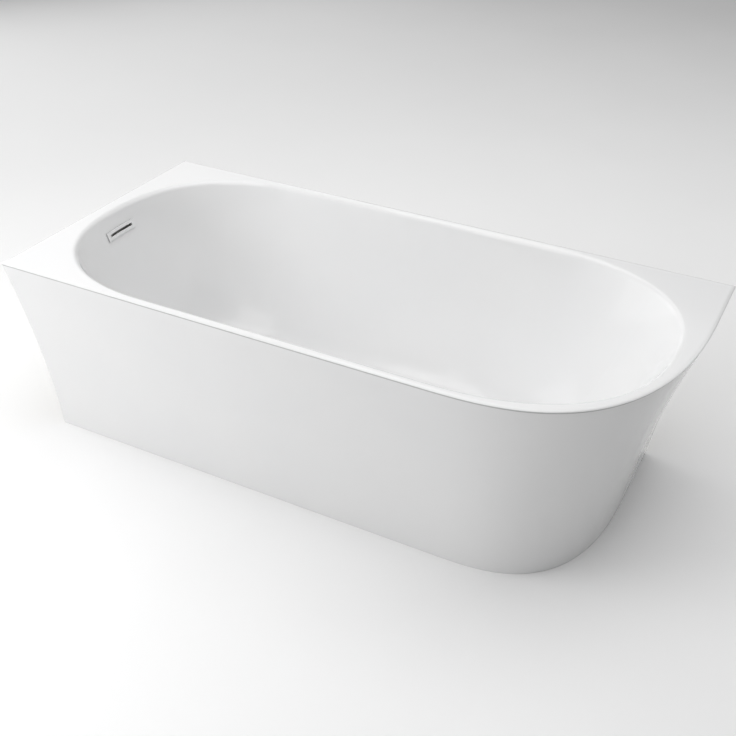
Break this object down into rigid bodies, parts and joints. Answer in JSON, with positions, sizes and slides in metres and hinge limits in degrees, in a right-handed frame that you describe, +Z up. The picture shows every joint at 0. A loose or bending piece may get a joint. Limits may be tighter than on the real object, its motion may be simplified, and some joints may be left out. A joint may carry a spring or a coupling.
{
  "type": "bathtub",
  "caption": "Back-to-wall corner bath with an oval basin, a flared one-piece skirt, slot overflow, push plug waste and levelling feet.",
  "frame": {"origin": "middle of the footprint, on the floor", "axes": "+X along the bath towards its rounded free end, +Y towards the back wall, +Z up"},
  "size_m": [1.7, 0.8, 0.585],
  "materials": {
    "white_acrylic": "glossy sanitary acrylic",
    "chipboard": "raw chipboard, resin-sealed",
    "zinc_plated_steel": "zinc plated",
    "black_rubber": "matt",
    "white_plastic": "moulded polypropylene",
    "grey_plastic": "moulded polypropylene",
    "chrome": "polished",
    "brass": "turned"
  },
  "bodies": {
    "root": {"apron_floor_batten": "chipboard", "apron_shell": "white_acrylic", "back_left_rim_pad": "chipboard", "back_left_wall_bracket": "zinc_plated_steel", "back_right_rim_pad": "chipboard", "back_right_wall_bracket": "zinc_plated_steel", "base_board": "chipboard", "basin_shell": "white_acrylic", "front_left_rim_pad": "chipboard", "hose_lower_nut": "white_plastic", "hose_upper_nut": "white_plastic", "left_back_board_screw": "zinc_plated_steel", "left_back_lock_nut": "zinc_plated_steel", "left_batten_screw": "zinc_plated_steel", "left_front_board_screw": "zinc_plated_steel", "left_front_lock_nut": "zinc_plated_steel", "left_rail": "zinc_plated_steel", "left_wall_bracket": "zinc_plated_steel", "outlet_pipe": "grey_plastic", "overflow_chamber": "white_plastic", "overflow_cover": "white_acrylic", "overflow_gasket": "black_rubber", "overflow_hose": "grey_plastic", "plug_cartridge": "white_plastic", "right_back_board_screw": "zinc_plated_steel", "right_back_lock_nut": "zinc_plated_steel", "right_batten_screw": "zinc_plated_steel", "right_front_board_screw": "zinc_plated_steel", "right_front_lock_nut": "zinc_plated_steel", "right_rail": "zinc_plated_steel", "trap_body": "white_plastic", "trap_cup": "grey_plastic", "trap_inlet_nut": "white_plastic", "trap_outlet_nut": "white_plastic", "waste_body": "white_plastic", "waste_flange": "chrome", "waste_gasket": "black_rubber", "waste_seal": "black_rubber"},
    "left_front_pad": {"left_front_foot_pad": "black_rubber"},
    "left_front_stud": {"left_front_foot_stud": "zinc_plated_steel"},
    "left_back_pad": {"left_back_foot_pad": "black_rubber"},
    "left_back_stud": {"left_back_foot_stud": "zinc_plated_steel"},
    "right_front_pad": {"right_front_foot_pad": "black_rubber"},
    "right_front_stud": {"right_front_foot_stud": "zinc_plated_steel"},
    "right_back_pad": {"right_back_foot_pad": "black_rubber"},
    "right_back_stud": {"right_back_foot_stud": "zinc_plated_steel"},
    "plug": {"plug_cap": "chrome", "plug_stem": "brass"}
  },
  "joints": [
    {"name": "left_front_foot_height", "type": "slide", "parent": "root", "child": "left_front_pad", "axis": [0, 0, 1], "range_m": [-0.008, 0.008]},
    {"name": "left_front_stud_turn", "type": "hinge", "parent": "left_front_pad", "child": "left_front_stud", "pos_m": [-0.3, -0.218, 0], "axis": [0, 0, 1], "range_deg": [-1650, 1650]},
    {"name": "left_back_foot_height", "type": "slide", "parent": "root", "child": "left_back_pad", "axis": [0, 0, 1], "range_m": [-0.008, 0.008]},
    {"name": "left_back_stud_turn", "type": "hinge", "parent": "left_back_pad", "child": "left_back_stud", "pos_m": [-0.3, 0.218, 0], "axis": [0, 0, 1], "range_deg": [-1650, 1650]},
    {"name": "right_front_foot_height", "type": "slide", "parent": "root", "child": "right_front_pad", "axis": [0, 0, 1], "range_m": [-0.008, 0.008]},
    {"name": "right_front_stud_turn", "type": "hinge", "parent": "right_front_pad", "child": "right_front_stud", "pos_m": [0.34, -0.218, 0], "axis": [0, 0, 1], "range_deg": [-1650, 1650]},
    {"name": "right_back_foot_height", "type": "slide", "parent": "root", "child": "right_back_pad", "axis": [0, 0, 1], "range_m": [-0.008, 0.008]},
    {"name": "right_back_stud_turn", "type": "hinge", "parent": "right_back_pad", "child": "right_back_stud", "pos_m": [0.34, 0.218, 0], "axis": [0, 0, 1], "range_deg": [-1650, 1650]},
    {"name": "plug_lift", "type": "slide", "parent": "root", "child": "plug", "axis": [0, 0, 1], "range_m": [0, 0.008]}
  ],
  "couplings": [
    {"joint": "left_front_stud_turn", "follows": "left_front_foot_height", "rad_per_m": 3590.4},
    {"joint": "left_back_stud_turn", "follows": "left_back_foot_height", "rad_per_m": 3590.4},
    {"joint": "right_front_stud_turn", "follows": "right_front_foot_height", "rad_per_m": 3590.4},
    {"joint": "right_back_stud_turn", "follows": "right_back_foot_height", "rad_per_m": 3590.4}
  ]
}
